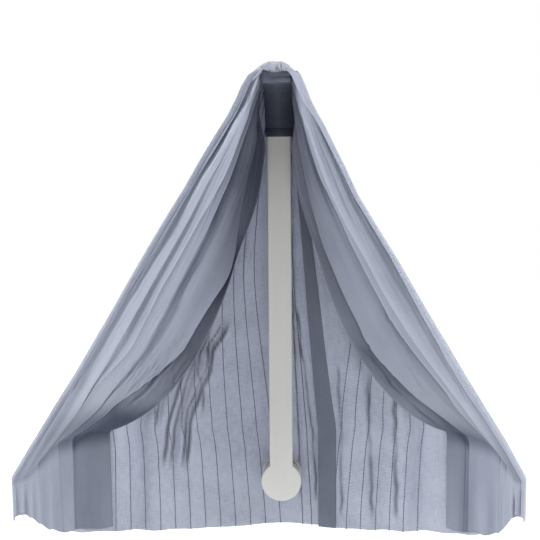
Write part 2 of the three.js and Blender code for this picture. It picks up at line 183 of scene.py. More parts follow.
def outerBase(half, around, down):
    around, down = np.broadcast_arrays(around, down)
    x, y = bendLine(
        half, around, hang["outerTop"], hang["ridgeFront"], hang["ridgeBack"], hang["ridgeCorner"])
    top = point(x, y, mix(hang["armTop"], hang["ridgeTop"], smooth(around, half["seam"], 0.7)))
    footX, footY = railLine(half, around)
    foot = point(footX, footY, hang["railTop"])
    toSide = 1 - smooth(around, half["seam"], 0.7)
    shoulder = mix(top, foot, 1 / 3)
    shoulder[..., 0] += half["sign"] * half["rise"] * toSide
    shoulder[..., 2] += half["rise"] * toSide
    waist = mix(top, foot, 2 / 3)
    overBend = smooth(around, half["seam"] - 0.05, 0.65)
    shoulder[..., 1] = mix(shoulder[..., 1], hang["bendClear"], overBend)
    shoulder[..., 2] = mix(shoulder[..., 2], hang["armTop"], overBend)
    waist[..., 1] = mix(waist[..., 1], hang["bendClear"], overBend)
    places = curveAt((top, shoulder, waist, foot), np.minimum(down / railShare, 1))
    places[..., 0] += swellAt(half, down) * (1 - smooth(around, half["turnFrom"], half["turnTo"]))
    below = np.maximum((down - railShare) / (1 - railShare), 0)
    return hangBelow(places, hang["railTop"] - hemHeight(np.minimum(around, 1)), below)


def outwardOf(half, around):
    x, y = railLine(half, around)
    innerX, innerY = railLine(half, around, hang["innerInset"])
    away = point(x - innerX, y - innerY, 0)
    return away / np.linalg.norm(away, axis=-1, keepdims=True)


def innerBase(half, across, down):
    across, down = np.broadcast_arrays(across, down)
    slack = np.maximum(across, 0) ** 1.5
    topX = mix(half["frontTop"], hang["innerTop"], smooth(across, 0, 0.25))
    top = point(half["sign"] * topX, mix(hang["ridgeFront"], hang["ridgeInnerBack"], slack), hang["armTop"])
    inset = mix(hang["frontInset"], hang["innerInset"], smooth(across, 0, 0.12))
    footX, footY = railLine(half, slack * frontRunShare, inset)
    foot = point(footX, footY, hang["railTop"])
    hangEnd = top + point(half["sign"] * 0.0024, hang["edgeDrift"], -hang["edgeHang"])
    swingEnd = foot + point(-half["sign"] * hang["edgeSwing"], -hang["edgeDrift"], hang["edgeLift"])
    shoulder = mix(top, foot, 1 / 3)
    shoulder[..., 0] += half["sign"] * half["rise"] * (1 - across)
    shoulder[..., 2] += half["rise"] * (1 - across)
    shoulder = mix(shoulder, hangEnd, slack[..., None])
    waist = mix(mix(top, foot, 2 / 3), swingEnd, slack[..., None])
    places = curveAt((top, shoulder, waist, foot), np.minimum(down / railShare, 1))
    places[..., 0] += swellAt(half, down) * (1 - smooth(across, 0, 0.6))
    beside = smooth(down, 0.045, 0.11) * (1 - smooth(down, 0.15, 0.29))
    places[..., 0] -= half["sign"] * half["pullIn"] * smooth(across, 0.5, 1) * beside
    upper = smooth(down, 0.02, 0.10) * (1 - smooth(down, 0.28, 0.5)) * (1 - smooth(across, 0, 0.2))
    places[..., 0] += half["sign"] * half["foldOut"] * upper
    below = np.maximum((down - railShare) / (1 - railShare), 0)
    hem = hemHeight(across * frontRunShare) + hang["innerHemLift"]
    return hangBelow(places, hang["railTop"] - hem, below)


# Rounds the bend over the rail by averaging a surface over a short stretch of its fall
def roundedOverRail(surface, across, down):
    spread = 0.012 * np.exp(-((down - railShare) / 0.03) ** 2)
    weights = (0.1, 0.2, 0.4, 0.2, 0.1)
    steps = (-1, -0.5, 0, 0.5, 1)
    return sum(w * surface(across, down + s * spread) for w, s in zip(weights, steps))


def addPiece(name, mesh):
    piece = bpy.data.objects.new(name, mesh)
    scene.collection.objects.link(piece)
    return piece


# One entry of a vertex table for every face corner, as maps are stored
def atCorners(mesh, values):
    corners = np.zeros(len(mesh.loops), int)
    mesh.loops.foreach_get("vertex_index", corners)
    return values[corners].ravel()


# A mesh from a grid of points, with a map in metres of cloth and, if given, the shade painted in its folds
def sheetPiece(name, places, flat, material, thickness=hang["clothThickness"], shade=None):
    rows, columns = places.shape[:2]
    mesh = bpy.data.meshes.new(name)
    index = np.arange(rows * columns).reshape(rows, columns)
    quads = np.stack([index[:-1, :-1], index[:-1, 1:], index[1:, 1:], index[1:, :-1]], -1).reshape(-1, 4)
    mesh.from_pydata(places.reshape(-1, 3).tolist(), [], quads.tolist())
    v, u = np.meshgrid(np.linspace(0, flat[1], rows), np.linspace(0, flat[0], columns), indexing="ij")
    layer = mesh.uv_layers.new(name="cloth")
    layer.data.foreach_set("uv", atCorners(mesh, np.stack([u.ravel(), v.ravel()], -1)))
    mesh.polygons.foreach_set("use_smooth", np.ones(len(mesh.polygons), bool))
    if shade is not None:
        dark = mesh.attributes.new("shade", "FLOAT", "POINT")
        dark.data.foreach_set("value", np.broadcast_to(shade, (rows, columns)).ravel().astype(np.float32))
    mesh.materials.append(material)
    piece = addPiece(name, mesh)
    wall = piece.modifiers.new("wall", "SOLIDIFY")
    wall.thickness = thickness
    wall.offset = 0
    return piece


# Materials

def nodesOf(name, finish):
    material = bpy.data.materials.new(name)
    material.use_nodes = True
    tree = material.node_tree
    shader = next(n for n in tree.nodes if n.type == "BSDF_PRINCIPLED")
    setInputs(shader, finish)
    return material, tree, shader


def setInputs(node, values):
    for key, value in values.items():
        node.inputs[key].default_value = value


def addNode(tree, kind, inputs=None, **settings):
    node = tree.nodes.new(kind)
    for key, value in settings.items():
        setattr(node, key, value)
    setInputs(node, inputs or {})
    return node


# Links from node to node, each as (from, its output, to, its input)
def wire(tree, *links):
    for source, output, target, entry in links:
        tree.links.new(source.outputs[output], target.inputs[entry])


# A colour ramp between two positions, each given as (position, colour)
def addRamp(tree, low, high):
    ramp = addNode(tree, "ShaderNodeValToRGB")
    for element, (position, colour) in zip(ramp.color_ramp.elements, (low, high)):
        element.position = position
        element.color = colour
    return ramp


def addBump(tree, source, output, shader, strength, distance):
    bump = addNode(tree, "ShaderNodeBump", {"Strength": strength, "Distance": distance})
    wire(tree, (source, output, bump, "Height"), (bump, "Normal", shader, "Normal"))


cottonFinish = {
    "Roughness": 0.86, "Sheen Weight": 0.10, "Subsurface Weight": 1.0, "Subsurface Radius": (1, 1, 1),
    "Specular IOR Level": 0.25,
}
weave = {
    "threads": ((700, 60, 1), (60, 700, 1)),
    "clouds": {"Scale": 14.0, "Detail": 3.0, "Roughness": 0.55}, "cloudShare": 0.45,
    "contrast": 0.32, "slubContrast": 0.5, "low": 0.30, "slubLow": 0.42, "high": 0.62, "slubHigh": 0.52,
    "relief": 0.16, "slubRelief": 0.1, "depth": 0.0006, "inShade": (0.10, 0.116, 0.175, 1),
}
# Each cotton: its colour, the colour of its threads' shadows, how slubby it is, how deep light goes in
cottons = {
    "plain": ((0.42, 0.45, 0.54, 1), (0.365, 0.393, 0.478, 1), 0.0, 0.0012),
    "slub": ((0.52, 0.545, 0.622, 1), (0.35, 0.373, 0.442, 1), 0.5, 0.0024),
    "facing": ((0.38, 0.408, 0.492, 1), (0.33, 0.356, 0.437, 1), 0.0, 0.0010),
    # The sleeve's colour is this cotton darkened by painted shade, for the shadow it lies in under the crown
    "sleeve": ((0.20, 0.222, 0.285, 1), (0.165, 0.185, 0.242, 1), 0.0, 0.0010),
    "band": ((0.245, 0.268, 0.34, 1), (0.205, 0.226, 0.295, 1), 0.0, 0.0016),
    # The tucks' colour is this cotton darkened by painted shade, for the shadow in their sewn creases; the
    # stitch beads take it too
    "tuck": ((0.18, 0.195, 0.25, 1), (0.14, 0.153, 0.2, 1), 0.2, 0.0006),
}


# Woven cotton: fine threads both ways, with slubs where slubShare is above zero
def makeCotton(name):
    colour, threadShadow, slubShare, glowDepth = cottons[name]
    material, tree, shader = nodesOf(name + "Cotton", {**cottonFinish, "Subsurface Scale": glowDepth})
    cloth = addNode(tree, "ShaderNodeUVMap", uv_map="cloth")
    woven = addNode(tree, "ShaderNodeMath", operation="ADD")
    for at, scale in enumerate(weave["threads"]):
        stretch = addNode(tree, "ShaderNodeMapping", {"Scale": scale})
        wire(tree, (cloth, "UV", stretch, "Vector"))
        streak = addNode(tree, "ShaderNodeTexNoise", {"Scale": 1.0, "Detail": 2.0, "Roughness": 0.6})
        wire(tree, (stretch, "Vector", streak, "Vector"), (streak, "Fac", woven, at))
    place = addNode(tree, "ShaderNodeTexCoord")
    cloudy = addNode(tree, "ShaderNodeTexNoise", weave["clouds"])
    contrast = weave["contrast"] + slubShare * weave["slubContrast"]
    tone = addNode(tree, "ShaderNodeMath", {1: contrast}, operation="MULTIPLY")
    cloud = addNode(tree, "ShaderNodeMath", {1: weave["cloudShare"]}, operation="MULTIPLY")
    toneSum = addNode(tree, "ShaderNodeMath", operation="ADD")
    low = weave["low"] + slubShare * weave["slubLow"]
    high = weave["high"] + slubShare * weave["slubHigh"]
    ramp = addRamp(tree, (low, threadShadow), (high, colour))
    # The shade attribute darkens the colour towards inShade: painted shade in folds, creases and recesses
    dark = addNode(tree, "ShaderNodeAttribute", attribute_name="shade")
    shaded = addNode(tree, "ShaderNodeMix", {7: weave["inShade"]}, data_type="RGBA", blend_type="MULTIPLY")
    wire(
        tree, (place, "Object", cloudy, "Vector"), (woven, "Value", tone, 0), (cloudy, "Fac", cloud, 0),
        (tone, "Value", toneSum, 0), (cloud, "Value", toneSum, 1), (toneSum, "Value", ramp, "Fac"),
        (dark, "Fac", shaded, 0), (ramp, "Color", shaded, 6), (shaded, 2, shader, "Base Color"))
    addBump(tree, woven, "Value", shader, weave["relief"] + slubShare * weave["slubRelief"], weave["depth"])
    return material


plainCotton, slubCotton, facingCotton = makeCotton("plain"), makeCotton("slub"), makeCotton("facing")
sleeveShadeCotton, bandCotton, tuckShadeCotton = makeCotton("sleeve"), makeCotton("band"), makeCotton("tuck")


# A material whose colour follows fine noise through the piece, from dark to light
def makeMottled(name, finish, noise, stretch, dark, light):
    material, tree, shader = nodesOf(name, finish)
    place = addNode(tree, "ShaderNodeTexCoord")
    scaled = addNode(tree, "ShaderNodeMapping", {"Scale": stretch})
    wire(tree, (place, "Object", scaled, "Vector"))
    marks = addNode(tree, "ShaderNodeTexNoise", {"Scale": 1.0, **noise})
    wire(tree, (scaled, "Vector", marks, "Vector"))
    ramp = addRamp(tree, (0, (*dark, 1)), (1, (*light, 1)))
    wire(tree, (marks, "Fac", ramp, "Fac"), (ramp, "Color", shader, "Base Color"))
    return material, tree, shader, marks


def makePaint():
    material, tree, shader, grain = makeMottled(
        "whitePaint", {"Roughness": 0.42, "Specular IOR Level": 0.4}, {"Detail": 4.0, "Roughness": 0.6},
        (120, 120, 6), (0.715, 0.715, 0.685), (0.755, 0.755, 0.725))
    addBump(tree, grain, "Fac", shader, 0.12, 0.0004)
    return material


def makeFelt():
    material, tree, shader, fibre = makeMottled(
        "grayFelt", {"Roughness": 0.95}, {"Detail": 5.0, "Roughness": 0.7},
        (900, 900, 900), (0.24, 0.24, 0.24), (0.42, 0.42, 0.41))
    addBump(tree, fibre, "Fac", shader, 0.5, 0.0006)
    return material


def makeMetal(name, colour, roughness):
    material, tree, shader, marks = makeMottled(
        name, {"Metallic": 1.0}, {"Detail": 3.0, "Roughness": 0.6},
        (420, 420, 420), [c * 0.82 for c in colour], colour)
    wear = addNode(tree, "ShaderNodeMapRange", {"To Min": roughness - 0.08, "To Max": roughness + 0.1})
    wire(tree, (marks, "Fac", wear, "Value"), (wear, "Result", shader, "Roughness"))
    return material


whitePaint = makePaint()
grayFelt = makeFelt()
zincSteel = makeMetal("zincSteel", (0.62, 0.63, 0.65), 0.34)
plainBrass = makeMetal("plainBrass", (0.72, 0.55, 0.27), 0.3)


def finishNodes():
    finishes = (
        (whitePaint, ("mast", "foot_spacer", "rear_clamp_disc")), (grayFelt, ("front_pad", "rear_pad")),
        (plainBrass, ("upper_insert", "lower_insert")),
        (zincSteel, ("upper_washer", "lower_washer", "upper_bolt", "lower_bolt")),
    )
    for material, nodes in finishes:
        for slot in (slot for node in nodes for slot in bpy.data.objects[node].material_slots):
            slot.link = "OBJECT"
            slot.material = material


finishNodes()
print("materials made")

# Front drapes: plain cotton turned in at the front fold, held in long folds that sag to the loose edge.
# Each fold line runs down the picture: (x, y) in its pixels, how far the cloth stands out there in
# fold depths, and, at a crisp edge, by how much it drops behind that edge.
frontDrape = {
    "rows": 172, "rowEase": 1.08, "perSpan": 10, "spanWidth": 0.14, "ahead": 0.894,
    "wrapColumns": 8, "returnColumns": 6, "returnShare": 0.022, "returnGap": 0.0010,
    "flat": (0.62, 0.82), "facingShare": 0.9, "facingFlat": (0.05, 0.82), "facingThickness": 0.0021,
}
left["folds"] = [
    [(252, 74, -0.2), (251, 80, -0.2), (242, 100, -0.2), (230.5, 120, -0.2), (219, 140, -0.2),
     (207, 160, -0.15), (195, 180, -0.15), (167, 230, -0.15), (139, 275, -0.15),
     (103, 335, -0.2), (61, 410, -0.1), (28, 464, -0.05)],
    [(260, 76, 0.9, 0.5), (250, 100, 0.95, 0.6), (241, 120, 0.9, 0.55), (231, 140, 0.85, 0.45),
     (221, 160, 0.7, 0.3), (209, 180, 0.55, 0.15), (183, 230, 0.45), (160, 270, 0.45),
     (126, 330, 0.4), (84, 400, 0.25)],
    [(261.5, 80, 0.2, 0.2), (252, 100, 0.25, 0.3), (247, 120, 0.3, 0.35), (238.5, 140, 0.3, 0.4),
     (231.5, 160, 0.35, 0.45), (222.5, 180, 0.45, 0.55), (194.5, 230, 0.85, 0.75), (178, 260, 0.95, 0.8),
     (160, 290, 1, 0.8), (145, 320, 1, 0.7), (130, 350, 0.85, 0.5), (109, 373, 0.6, 0.3),
     (88, 392, 0.45, 0.15), (60, 428, 0.25, 0.05)],
    [(262, 84, -0.1, 0.3), (256, 100, -0.1, 0.4), (250, 120, -0.1, 0.45), (243, 140, -0.1, 0.55),
     (236.5, 160, -0.1, 0.55), (229, 180, -0.05, 0.45), (207, 230, 0.15, 0.05), (175, 290, 0.35),
     (143, 350, 0.3), (100, 405, 0.2)],
    [(262.5, 90, -0.6), (258, 110, -0.75), (253, 140, -0.8), (247.5, 165, -0.7), (241, 185, -0.3),
     (220, 230, 0.5), (202, 264.5, 0.85), (187, 290, 0.95), (178, 314, 0.95), (160, 345, 0.8),
     (130, 378, 0.55), (95, 410, 0.3)],
    [(263, 95, -1), (260, 115, -1.25), (256, 142, -1.35), (251, 162, -1.25), (246, 184, -1),
     (240, 215, -0.45), (236, 245, -0.05, 0.1), (232, 266, 0.1, 0.4), (226, 280, 0.25, 0.8),
     (208, 306.5, 0.4, 1.1), (191.5, 333.5, 0.5, 1.2), (182.5, 350, 0.5, 1.2), (165, 366, 0.45, 0.9),
     (138, 388, 0.35, 0.6), (110, 408, 0.25, 0.3)],
]
right["folds"] = [
    [(289, 68, 0, 0.09), (294, 80, 0, 0.21), (305, 100, 0, 0.23), (316, 120, 0, 0.23),
     (327.5, 140, 0, 0.27), (338.5, 160, 0, 0.3), (349.5, 180, 0, 0.3), (370, 220, 0, 0.27),
     (381, 240, 0, 0.25), (392.5, 260, 0, 0.25), (404, 280, 0, 0.24), (426, 320, 0, 0.18),
     (446.5, 360, 0, 0.15), (471, 400, 0, 0.12), (498, 434, 0, 0.06), (509, 450, 0, 0.03)],
    [(292, 80, 0.3), (300, 110, 0.55), (312, 140, 0.7), (320, 165, 0.8), (328, 185, 0.85),
     (347, 225, 0.95), (367, 260, 1), (388, 300, 1.05), (412, 340, 0.95), (428, 362, 0.8),
     (446, 385, 0.6), (470, 415, 0.4)],
    [(291, 84, 0.15, 0.15), (297, 100, 0.3, 0.2), (303, 120, 0.35, 0.25), (308, 140, 0.4, 0.3),
     (314, 160, 0.5, 0.4), (321, 180, 0.6, 0.55), (331, 200, 0.7, 0.7), (341, 220, 0.8, 0.8),
     (349.5, 240, 0.85, 0.85), (360, 260, 0.9, 0.85), (370, 280, 0.9, 0.8), (381, 300, 0.85, 0.6),
     (391, 320, 0.75, 0.4), (405, 340, 0.65, 0.25), (420, 360, 0.55, 0.2), (452, 400, 0.35, 0.1)],
    [(289, 88, -0.1, 0.2), (293.5, 108, -0.1, 0.3), (297, 130, -0.05, 0.35), (300, 150, 0, 0.35),
     (306, 180, 0.1, 0.35), (313, 210, 0.2, 0.4), (323, 245, 0.3, 0.5), (340, 285, 0.4, 0.55),
     (350, 307, 0.45, 0.5), (358, 322, 0.5, 0.5), (365, 338, 0.55, 0.7), (374, 352, 0.6, 1),
     (385, 364, 0.65, 1.2), (400, 381, 0.65, 1.2), (420, 400, 0.5, 0.9), (445, 419, 0.3, 0.5),
     (470, 438, 0.15, 0.2)],
]
# between: extra height halfway from line to line, from the fold to the edge, and edge: the height of
# the loose edge itself, high up and low down. shades: how much shade is painted on each stretch between
# the lines.
left.update(
    between=(0.25, 0.35, 0.2, 0.05, 0.05, -0.1, -0.2), edge=(-0.55, -0.25),
    shades=(0.32, 0, 0.12, 0.20, 0.28, 0.28, 0.32))
right.update(between=(0, -0.05, 0.1, 0.25, -0.2), edge=(-0.5, -0.2), shades=(0.05, 0.20, 0.42, 0.40, 0.22))
# Knots of small wrinkles: where they lie in the picture, how wide, and how high in millimetres
left["wrinkles"] = [
    (147, 317, 12, 2.2), (158, 370, 20, 3.4), (136, 386, 18, 2.8), (181, 345, 12, 1.8), (240, 125, 12, 1.2),
]
right["wrinkles"] = [
    (387, 316, 10, 1.8), (406, 342, 13, 1.8), (368, 345, 13, 2.2), (388, 372, 14, 2.4), (415, 392, 14, 2.0),
]
# How the cloth turns under at a crisp edge, in parts of its width, and how much less shade is painted on
# the edge itself, a painted highlight on its crest
crispEdge = {"least": 0.012, "wrap": 0.004, "under": 0.009, "behind": 0.010, "paintedCrestLight": 0.10}
edgeShade = {
    "spread": 0.034, "widest": 4, "narrowFrom": 0.40, "deepen": 7, "most": 0.93, "mostWithCreases": 0.9,
    "belowRail": 0.65, "lowBelowRail": 0.6, "recessAcross": (0.42, 0.95), "recessDown": (0.12, 0.42),
}
ripples = {
    "streak": 0.0009, "fine": 0.0004, "gather": 0.0007, "gathers": 19, "swing": 0.006, "swings": 5.5,
}


def liftAway(half):
    return np.array([-half["sign"] * math.sqrt(1 - frontDrape["ahead"] ** 2), -frontDrape["ahead"], 0])


def foldStrength(down):
    gathered = mix(0.4, 1.0, smooth(down, 0.0, 0.14))
    return gathered * mix(1.0, 0.28, smooth(down, 0.56, 0.77))


# For each row, where it crosses a line of the picture, and the height and the drop there
def crossings(half, line, down, base, across):
    table = np.array([(*knot, 0)[:4] for knot in line]).T
    seenX, seenY = seenAt(base)
    lift = hang["foldDepth"] * np.interp(seenY, table[1], table[2]) * foldStrength(down)[:, None]
    lift = lift * smooth(across, 0, 0.06)[None, :]
    seenX, seenY = seenAt(base + liftAway(half) * lift[..., None])
    offset = (seenX - np.interp(seenY, table[1], table[0])) * half["sign"]
    column = np.argmax(offset <= 0, axis=1)
    rows = np.arange(len(down))
    before, after = offset[rows, column - 1], offset[rows, column]
    part = np.where(before > after, before / np.maximum(before - after, 1e-6), 0)
    place = across[np.maximum(column - 1, 0)] + part * (across[1] - across[0])
    height = np.interp(mix(seenY[rows, column - 1], seenY[rows, column], part), table[1], table[2])
    level = seenY[rows, column]
    known = (column > 0) & (level > table[1][0] - 3) & (level < table[1][-1] + 3)
    place = np.interp(down, down[known], place[known])
    height = np.interp(down, down[known], height[known])
    drop = np.interp(down, down[known], np.interp(level[known], table[1], table[3]))
    evenOut = lambda values: np.convolve(np.pad(values, 4, "edge"), np.hanning(11)[1:-1] / 5, "valid")
    return evenOut(place), evenOut(height), evenOut(drop)


# Knots across every row: place, height and shade. A crisp edge takes three of them: the edge itself,
# one tucked under it and one behind.
def foldKnots(half, down):
    across = np.linspace(0, 1, 401)
    base = innerBase(half, across[None, :], down[:, None])
    even = np.ones(len(down))
    shades, between = half["shades"], half["between"]
    knots, edges = [(even * 0, even * 0, even * shades[0])], []
    for at, line in enumerate(half["folds"]):
        place, height, drop = crossings(half, line, down, base, across)
        lastPlace, lastHeight, _ = knots[-1]
        place = np.maximum(place, lastPlace + crispEdge["least"])
        edges.append((place, np.minimum(drop, 1)))
        bulge = between[at] * smooth(place - lastPlace, 0.01, 0.12)
        tucked = place + crispEdge["wrap"] - crispEdge["under"] * np.minimum(drop, 1)
        knots += [
            ((lastPlace + place) / 2, (lastHeight + height) / 2 + bulge, even * shades[at]),
            (place, height, even * max(shades[at] - crispEdge["paintedCrestLight"], 0)),
            (tucked, height - 0.5 * drop, even * shades[at + 1]),
            (place + crispEdge["behind"], height - drop, even * shades[at + 1]),
        ]
    lastPlace, lastHeight, _ = knots[-1]
    endHeight = mix(half["edge"][0], half["edge"][1], smooth(down, 0.12, 0.35))
    knots.append(((lastPlace + 1) / 2, (lastHeight + endHeight) / 2 + between[-1], even * shades[-1]))
    knots.append((even, endHeight, even * shades[-1]))
    knots = np.array(knots).transpose(2, 0, 1)
    return knots[..., :2], knots[..., 2], edges


# Smooth lines through knots, with the same number of points in every span
def throughKnots(knots, perSpan, width, depth):
    scaled = knots * np.array([width, depth])
    steps = np.diff(scaled, axis=1)
    lengths = np.maximum(np.linalg.norm(steps, axis=-1, keepdims=True), 1e-6)
    unit = steps / lengths
    tangents = np.concatenate([unit[:, :1], unit[:, :-1] + unit[:, 1:], unit[:, -1:]], axis=1)
    tangents /= np.maximum(np.linalg.norm(tangents, axis=-1, keepdims=True), 1e-6)
    t = np.linspace(0, 1, perSpan, endpoint=False)[None, None, :, None]
    start, end = scaled[:, :-1, None], scaled[:, 1:, None]
    pull, arrive = tangents[:, :-1, None] * lengths[:, :, None], tangents[:, 1:, None] * lengths[:, :, None]
    curve = (2 * t ** 3 - 3 * t * t + 1) * start + (t ** 3 - 2 * t * t + t) * pull
    curve = curve + (3 * t * t - 2 * t ** 3) * end + (t ** 3 - t * t) * arrive
    curve = curve.reshape(len(knots), -1, 2)
    curve = np.concatenate([curve, scaled[:, -1:]], axis=1)
    return curve[..., 0] / width, curve[..., 1] / depth


def wrinkleLift(places, wrinkles, seed):
    seenX, seenY = seenAt(places)
    lift = np.zeros(seenX.shape)
    for at, (x, y, reach, height) in enumerate(wrinkles):
        near = np.exp(-((seenX - x) ** 2 + (seenY - y) ** 2) / reach ** 2)
        slant = (seenX + seenY * 0.8) * 0.22, (seenX - seenY * 0.7) * 0.09
        uneven = softNoise(slant[0] + 7 * at, slant[1] + 3 * at, seed)
        lift += height / 1000 * near * (1 - 2.2 * np.abs(uneven))
    return lift


def innerFolded(half, across, height, down):
    seed = half["seed"]
    places = innerBase(half, across, down)
    facing = liftAway(half)
    wander = 1 + 0.10 * softNoise(across * 5, down * 6, seed)
    lift = hang["foldDepth"] * height * foldStrength(down) * wander
    streaks = ripples["streak"] * softNoise(across * 26, down * 5, seed + 1)
    streaks = streaks + ripples["fine"] * softNoise(across * 64, down * 14, seed + 2)
    gathers = 2 * math.pi * ripples["gathers"] * across + 4 * softNoise(across * 7, down * 3, seed + 5)
    streaks = streaks + ripples["gather"] * np.sin(gathers) * (1 - smooth(down, 0.08, 0.42))
    swings = 2 * math.pi * ripples["swings"] * across + 1.5 * softNoise(across * 4, down * 2, seed + 8)
    streaks = streaks + ripples["swing"] * np.sin(swings) * smooth(down, railShare + 0.01, 0.95)
    places = places + facing * (lift + streaks * smooth(across, 0.0, 0.1))[..., None]
    creased, creaseShades = creaseLift(places, half["drapeCreases"], seed)
    lift = wrinkleLift(places, half["wrinkles"], seed + 6) + creased
    return places + facing * lift[..., None], creaseShades


# Shade between the knots, darkest just behind each crisp edge, high up beside the mast and at the rail.
# recessAcross and recessDown: between which shares the recess beside the mast sets in and fades out.
def shadeThrough(half, knotShade, edges, inward, down):
    spans = knotShade.shape[1] - 1
    at = np.linspace(0, spans, inward.shape[1])
    shade = np.array([np.interp(at, np.arange(spans + 1), row) for row in knotShade])
    perSpan = frontDrape["perSpan"]
    wider = np.clip(edgeShade["narrowFrom"] / (down + 0.02), 1, edgeShade["widest"])
    for line, (place, drop) in enumerate(edges):
        spread = edgeShade["spread"] * (wider if line == 0 else 1)
        firstBehind = (4 * line + 2) * perSpan + perSpan // 3
        away = np.maximum(inward - place[:, None] - half["hidden"][line] * drop[:, None], 0)
        crisp = np.minimum(edgeShade["deepen"] * drop[:, None], 1)
        behind = np.exp(-away / spread) * half["edgeShade"] * crisp
        shade[:, firstBehind:] += behind[:, firstBehind:]
    shade = shade * (1 - edgeShade["belowRail"] * smooth(down, 0.74, 0.80))
    recess = smooth(inward, *edgeShade["recessAcross"]) * (1 - smooth(down, *edgeShade["recessDown"]))
    lowFrom, lowTo, lowMost = half["lowShade"]
    low = smooth(down, lowFrom, lowTo) * (1 - edgeShade["lowBelowRail"] * smooth(down, 0.75, 0.80))
    low = low * smooth(inward, 0.02, 0.15)
    return np.clip(shade + half["recess"] * recess + lowMost * low, 0, edgeShade["most"])


# Places round the front fold, from the outer cloth's start to the drape's
def aroundFold(start, end):
    middle, reach = (start + end) / 2, (start - end) / 2
    radius = np.linalg.norm(reach, axis=-1, keepdims=True)
    ahead = np.array([0, -1.0, 0])
    forward = ahead - reach * (reach @ ahead)[..., None] / radius ** 2
    forward /= np.linalg.norm(forward, axis=-1, keepdims=True)
    turns = np.linspace(0, math.pi, frontDrape["wrapColumns"] + 2)[1:-1][None, :, None]
    return middle + reach * np.cos(turns) + forward * radius * np.sin(turns)


def makeFrontDrape(side, half):
    down = np.linspace(0, 1, frontDrape["rows"]) ** frontDrape["rowEase"]
    knots, knotShade, edges = foldKnots(half, down)
    inward, height = throughKnots(knots, frontDrape["perSpan"], frontDrape["spanWidth"], hang["foldDepth"])
    down = down[:, None]
    creaseShades = innerFolded(half, inward, height, down)[1]
    shade = shadeThrough(half, knotShade, edges, inward, down) + creaseShades
    shade = np.clip(shade, 0, edgeShade["mostWithCreases"])
    inner = roundedOverRail(lambda across, fall: innerFolded(half, across, height, fall)[0], inward, down)
    back = np.linspace(frontDrape["returnShare"], 0, frontDrape["returnColumns"])[None, :]
    outer = outerFolded(half, back, down, 0) + outwardOf(half, back) * frontDrape["returnGap"]
    wrap = aroundFold(outer[:, -1:], inner[:, :1])
    lead = np.repeat(shade[:, :1], outer.shape[1] + wrap.shape[1], axis=1)
    drape = sheetPiece(
        side + "FrontDrape", np.concatenate([outer, wrap, inner], axis=1), frontDrape["flat"], plainCotton,
        shade=np.concatenate([lead, shade], axis=1))
    facingFrom = int(np.argmax(inward[len(inward) // 2] > frontDrape["facingShare"]))
    facing = sheetPiece(
        side + "Facing", inner[:, facingFrom:], frontDrape["facingFlat"], facingCotton,
        frontDrape["facingThickness"], shade[:, facingFrom:])
    return drape, facing


# Outer cloth: pintucked cotton from the front fold round the side and across the back
def outerFolded(half, around, down, layer):
    places = roundedOverRail(lambda a, d: outerBase(half, a, d), around, down)
    share = np.minimum(down / railShare, 1)
    fade = 1 - smooth(around, 0.7, 0.82)
    depth = mix(hang["sideFold"], hang["backFold"], smooth(around, 0.3, 0.6)) * fade
    wave = np.sin(2 * math.pi * hang["sideFoldCount"] * around) * smooth(share, 0, 0.8)
    lap = layer * smooth(around, 0.65, 0.8)
    places = places + outwardOf(half, around) * (depth * wave + lap)[..., None]
    places[..., 2] += lap * (1 - smooth(share, 0.1, 0.5))
    return places


outerCloth = {
    "columns": 250, "rightColumns": 230, "rows": 150, "start": 0.004, "height": 0.86,
    "gather": 0.0017, "gathers": 23, "crumple": 0.0011, "fineCrumple": 0.0006, "gatheredTo": 0.40,
    "leftSeed": 21, "rightSeed": 31, "bandColumns": 14, "bandThickness": 0.0024, "bandUnder": 0.0015,
}
# The top of the crown, over the arm: how high the cloth lies beside the middle
crown = {
    "top": 0.7095, "flat": 0.008, "rows": 22, "startShare": 0.016, "leftFall": 3.7, "rightFall": 4.3,
    "drawnBack": 0.035, "sink": 0.0035,
}


def crownHeight(x):
    fall = np.where(x < 0, crown["leftFall"], crown["rightFall"])
    return crown["top"] - fall * np.maximum(np.abs(x) - crown["flat"], 0) ** 1.5


# Rows that carry the outer cloth from its first row up and over to the middle of the arm
def overArm(first, around):
    share = np.linspace(0, 1, crown["rows"], endpoint=False)[:, None]
    x = first[:, 0][None, :] * share ** 0.9
    fullDrop = np.minimum(crownHeight(first[:, 0]) - crown["top"], -1e-4)
    drop = (crownHeight(x) - crown["top"]) / fullDrop[None, :]
    z = crown["top"] + (first[:, 2][None, :] - crown["top"]) * np.clip(drop, share ** 3, 1)
    behind = smooth(around, left["seam"], 0.9)[None, :]
    y = first[:, 1][None, :] - behind * (1 - share) * crown["drawnBack"]
    return point(x, y, z - crown["sink"] * behind)


